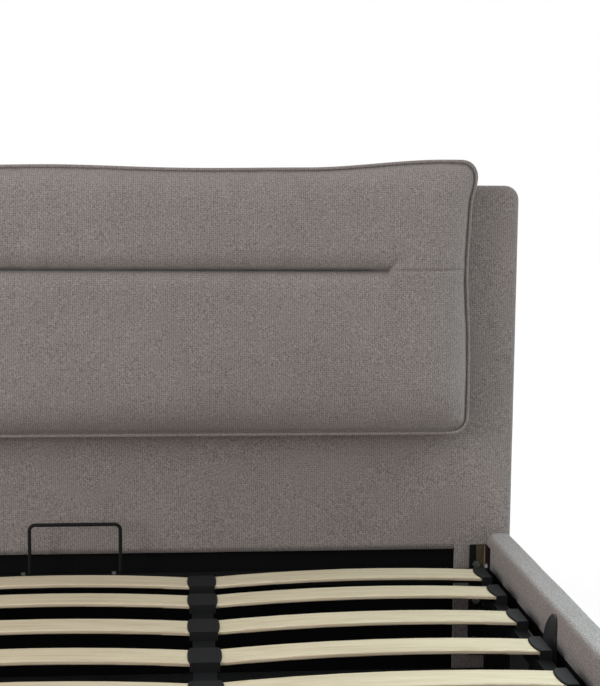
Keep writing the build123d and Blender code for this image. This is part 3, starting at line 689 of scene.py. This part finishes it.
def side_cover(side):
    """A side rail's cover, its inner top edge rounder where it ends at the headboard."""
    plain = side_profile(INNER_ROUND)
    along = fine(plain, SECTION_STEP)
    at_head = fine(side_profile(INNER_ROUND_AT_HEAD), SECTION_STEP, plain)
    if side < 0:
        along = along[::-1] * np.array([-1.0, 1.0])
        at_head = at_head[::-1] * np.array([-1.0, 1.0])
    run = np.linspace(FOOT_IN_Y, FACE_Y - HEAD_END, 125)
    ys = np.concatenate([run, np.linspace(FACE_Y - HEAD_END, FACE_Y, 13)[1:]])
    points = []
    for y in ys:
        round_off = smooth_step((y - FACE_Y + HEAD_ROUND_OFF) / HEAD_ROUND_OFF)
        for x, z in along + (at_head - along) * round_off:
            points.append(side_point(x, y, z, side))
    faces = ring_faces(len(ys), len(along)) + end_faces(len(ys), len(along))
    name = "side_rail_cover_right" if side > 0 else "side_rail_cover_left"
    return new_object(name, points, faces, "linen_lengthwise")


def foot_section(x, outline):
    """The foot rail cover's section at one X place, rounded at the outer corners."""
    near = max(RAIL_ROUND - (RAIL_OUT - abs(x)), 0.0)
    draw = RAIL_ROUND - math.sqrt(max(RAIL_ROUND**2 - near**2, 0.0))
    section = []
    for w, z in outline:
        outer = w > FOOT_BOARD + 1 or z > BOARD_TOP + 1
        dent = 0.0
        if outer and abs(x) < RAIL_IN:
            dent = abs(lumps((x, w, z), *FOOT_SLACK))
        if w > FOOT_BOARD:
            w = max(w - draw, FOOT_BOARD)
        if z > BOARD_TOP + 1:
            z = z - draw * 0.6
        section.append((x, FOOT_IN_Y - w + dent * (w > 30), z - 0.5 * dent * (z > NEAR_TOP)))
    return section


def foot_cover():
    """The foot rail's cover: a shell over the board, with solid rounded ends past it."""
    shell = fine(side_profile() - np.array([RAIL_IN, 0.0]), SECTION_STEP)
    whole = [(RAIL_WIDTH, COVER_LOW, 0), (RAIL_WIDTH, RAIL_TOP, 1), (0, RAIL_TOP, 1), (0, COVER_LOW, 0)]
    whole = fine(rounded(whole, RAIL_ROUND, ROUND_STEPS), SECTION_STEP)
    ends = RAIL_ROUND * (1 - np.cos(np.linspace(0, QUARTER, 9)))
    outer_end = np.concatenate([[BOARD_OUT + 0.3], RAIL_OUT - ends[::-1]])
    runs = [
        (np.linspace(-BOARD_OUT, BOARD_OUT, 120), shell),
        (outer_end, whole),
        (-outer_end[::-1], whole),
    ]
    points, faces = [], []
    for xs, outline in runs:
        first = len(points)
        for x in xs:
            points += foot_section(x, outline)
        closed = ring_faces(len(xs), len(outline)) + end_faces(len(xs), len(outline))
        faces += [tuple(first + i for i in face) for face in closed]
    return new_object("foot_rail_cover", points, faces, "linen_fabric")


head = headboard_cover()
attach(head, "bed_frame")
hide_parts("headboard_upholstery")

pad, pipe = cushion()
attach(pad, "bed_frame")
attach(pipe, "bed_frame")
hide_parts("headboard_cushion")

for side, name in ((1, "side_rail_upholstery_right"), (-1, "side_rail_upholstery_left")):
    cover = side_cover(side)
    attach(cover, "bed_frame")
    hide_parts(name)

foot = foot_cover()
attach(foot, "bed_frame")
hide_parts("foot_rail_upholstery")

# Corner fittings beside the headboard: a passivated hook plate and a timber packer

PLATE_BACK = FACE_Y - 4.0
PLATE_LOW = 262.0
PLATE_TOP = 334.0
CUBE_FACES = ((0, 1, 3, 2), (4, 6, 7, 5), (0, 4, 5, 1), (2, 3, 7, 6), (0, 2, 6, 4), (1, 5, 7, 3))


def plates(name, left, right, thickness, finish):
    """A small square-edged plate by the right corner and its mirror image by the left one."""
    points, faces = [], []
    for side in (-1, 1):
        first = len(points)
        for x in (left, right):
            for y in (PLATE_BACK - thickness, PLATE_BACK):
                points += [(side * x, y, PLATE_LOW), (side * x, y, PLATE_TOP)]
        for face in CUBE_FACES:
            here = tuple(first + i for i in face)
            faces.append(here if side > 0 else here[::-1])
    obj = new_object(name, points, faces, finish, smooth=False)
    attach(obj, "bed_frame")


plates("corner_hook_plates", 888.0, 905.0, 2.0, "passivated_steel")
plates("corner_packers", 905.2, 910.8, 3.0, "timber")

# Slat caps: each holder's tongue laps over its slat's end with a rounded nose

SIDE_MOUTH = 866.0
BEAM_MOUTH = 25.5
SIDE_TONGUE = 8.0
BEAM_TONGUE = 4.0
TONGUE_ROOT = 5.0
TONGUE_HALF = 33.0
TONGUE_TOP = 3.4
TONGUE_CHAMFER = 1.6
TONGUE_SINK = 0.4
SLAT_END_BACK = 13.0
SLAT_TILT = 0.015
SLAT_SLOPE = 4 * SLAT_CAMBER / SLAT_SPAN
SLAT_U = [FIRST_SLAT_U]
SLAT_U += [SECOND_SLAT_U + SLAT_PITCH * k for k in range(MIDDLE_SLATS + 1)]
SLAT_U += [LAST_SLAT_U]


def tongue(x0, way, top, slope, reach, u):
    """One tongue's points in three levels, and its faces."""
    turns = np.linspace(-QUARTER, QUARTER, 13)
    flat = [(reach * math.cos(turn), TONGUE_HALF * math.sin(turn)) for turn in turns]
    flat += [(-TONGUE_ROOT, TONGUE_HALF), (-TONGUE_ROOT, -TONGUE_HALF)]
    points = []
    for height, chamfer in ((0.0, 0.0), (TONGUE_TOP * 0.6, 0.0), (TONGUE_TOP, TONGUE_CHAMFER)):
        for out, across in flat:
            z = top + slope * (out + SLAT_END_BACK) + height - TONGUE_SINK
            x = x0 + way * (out - chamfer if out > 0 else out)
            points.append((x, FACE_Y - u + across * (1 - chamfer / TONGUE_HALF), z))
    faces = ring_faces(3, len(flat)) + end_faces(3, len(flat))
    return points, faces if way > 0 else [face[::-1] for face in faces]


def cap_tongues():
    mouths = []
    for side in (-1, 1):
        beam = side * BEAM_X
        mouths += [
            (side * SIDE_MOUTH, -side, SIDE_SLAT_TOP, SLAT_SLOPE - SLAT_TILT, SIDE_TONGUE),
            (beam + side * BEAM_MOUTH, side, BEAM_SLAT_TOP, SLAT_SLOPE + SLAT_TILT, BEAM_TONGUE),
            (beam - side * BEAM_MOUTH, -side, BEAM_SLAT_TOP, SLAT_SLOPE, BEAM_TONGUE),
        ]
    points, faces = [], []
    for u in SLAT_U:
        for mouth in mouths:
            more, sides = tongue(*mouth, u)
            faces += [tuple(len(points) + i for i in face) for face in sides]
            points += more
    return new_object("slat_cap_tongues", points, faces, "black_plastic", smooth=False)


tongues = cap_tongues()
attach(tongues, "lift_platform")

# Finishes of the pieces carried over from CAD; those not named here are black steel

BOTH_SIDES = ("left", "right")
NODE_FINISHES = {
    "foot_rail_lining": "black_lining",
    "headboard_back_lining": "back_lining",
    "headboard_board": "timber",
    "foot_rail_board": "timber",
    "floor_ledges": "timber",
    "floor_beam": "timber",
    "platform_rests": "timber",
    "headboard_lower_panel": "black_panel",
    "beam_slat_holders": "black_plastic",
    "side_slat_holders": "black_plastic",
    "feet": "black_rubber",
    "corner_bolts": "zinc_steel",
    "mattress_stop_bolts": "zinc_steel",
    "lift_base_pins": "zinc_steel",
    "bracket_pins": "zinc_steel",
}
for stem, finish in (
    ("side_rail_lining", "black_lining"),
    ("side_rail_board", "timber"),
    ("floor_panel", "floor_board"),
    ("gas_rod", "bright_steel"),
    ("gas_cylinder", "lift_steel"),
    ("lift_arm", "lift_steel"),
    ("stay_arm", "lift_steel"),
    ("lift_base_plate", "lift_steel"),
    ("platform_bracket", "lift_steel"),
):
    for side_name in BOTH_SIDES:
        NODE_FINISHES[f"{stem}_{side_name}"] = finish
for name, obj in nodes.items():
    finish = "birch_slat" if name.startswith("slat_row") else NODE_FINISHES.get(name, "black_steel")
    obj.data.materials.clear()
    obj.data.materials.append(FINISHES[finish])

# Studio

FLOOR_HALF = 60.0
FLOOR_Z = -0.001
WORLD_LIGHT = 1.03
WORLD_SEEN = 1.0

corners = [(-1, -1), (1, -1), (1, 1), (-1, 1)]
floor_mesh = bpy.data.meshes.new("studio_floor")
floor_points = [(FLOOR_HALF * x, FLOOR_HALF * y, FLOOR_Z) for x, y in corners]
floor_mesh.from_pydata(floor_points, [], [(0, 1, 2, 3)])
floor = bpy.data.objects.new("studio_floor", floor_mesh)
bpy.context.scene.collection.objects.link(floor)
pale_floor = mottled(
    "studio_floor", (0.975, 0.975, 0.975), 0.9, scale=2.0, spread=0.004, depth=0.0, specular=0.0
)
floor_mesh.materials.append(pale_floor)

world = bpy.data.worlds.new("studio")
bpy.context.scene.world = world
world.use_nodes = True
tree = world.node_tree
tree.nodes.clear()


def background(strength):
    node = tree.nodes.new("ShaderNodeBackground")
    node.inputs["Color"].default_value = (1.0, 1.0, 1.0, 1.0)
    node.inputs["Strength"].default_value = strength
    return node.outputs[0]


rays = tree.nodes.new("ShaderNodeLightPath")
shown = rays.outputs["Is Camera Ray"]
for ray in ("Is Glossy Ray", "Is Transmission Ray"):
    either = tree.nodes.new("ShaderNodeMath")
    either.operation = "MAXIMUM"
    tree.links.new(shown, either.inputs[0])
    tree.links.new(rays.outputs[ray], either.inputs[1])
    shown = either.outputs[0]
mix = tree.nodes.new("ShaderNodeMixShader")
world_out = tree.nodes.new("ShaderNodeOutputWorld")
tree.links.new(shown, mix.inputs["Fac"])
tree.links.new(background(WORLD_LIGHT), mix.inputs[1])
tree.links.new(background(WORLD_SEEN), mix.inputs[2])
tree.links.new(mix.outputs[0], world_out.inputs["Surface"])


def area(name, place, target, size, power, colour=(1.0, 1.0, 1.0), spread=180.0):
    """A round soft light at a place, turned to a target."""
    light = bpy.data.lights.new(name, "AREA")
    light.shape = "DISK"
    light.size = size
    light.energy = power
    light.color = colour
    light.spread = math.radians(spread)
    obj = bpy.data.objects.new(name, light)
    obj.location = place
    obj.rotation_euler = (Vector(target) - Vector(place)).to_track_quat("-Z", "Y").to_euler()
    obj.visible_camera = False
    bpy.context.scene.collection.objects.link(obj)


area("key", (-3.0, -0.8, 2.3), (0.2, 0.8, 0.5), 2.2, 56.0)
area("top", (1.2, -0.5, 4.0), (0.8, 0.0, 0.3), 2.6, 12.0)
area("front", (-2.2, -0.9, 0.95), (0.1, 0.9, 0.45), 1.0, 36.0)
area("side", (2.4, 0.4, 2.4), (0.95, 0.05, 0.3), 0.9, 13.0, (0.68, 0.93, 1.0), 55.0)

# Camera: turned a little to the right, tipped down and rolled, in degrees

CAMERA_TURN = -4.22
CAMERA_TIP = 6.18
CAMERA_ROLL = 0.35

camera_data = bpy.data.cameras.new("camera")
camera_data.lens = 66.5
camera_data.shift_x = 0.03
camera = bpy.data.objects.new("camera", camera_data)
turn = Matrix.Rotation(math.radians(CAMERA_TURN), 4, "Z")
tip = Matrix.Rotation(math.radians(90 - CAMERA_TIP), 4, "X")
roll = Matrix.Rotation(math.radians(CAMERA_ROLL), 4, "Z")
camera.location = (0.265, -1.646, 1.060)
camera.rotation_euler = (turn @ tip @ roll).to_euler()
bpy.context.scene.collection.objects.link(camera)
bpy.context.scene.camera = camera
bpy.context.scene.view_settings.view_transform = "Standard"

bpy.context.view_layer.update()
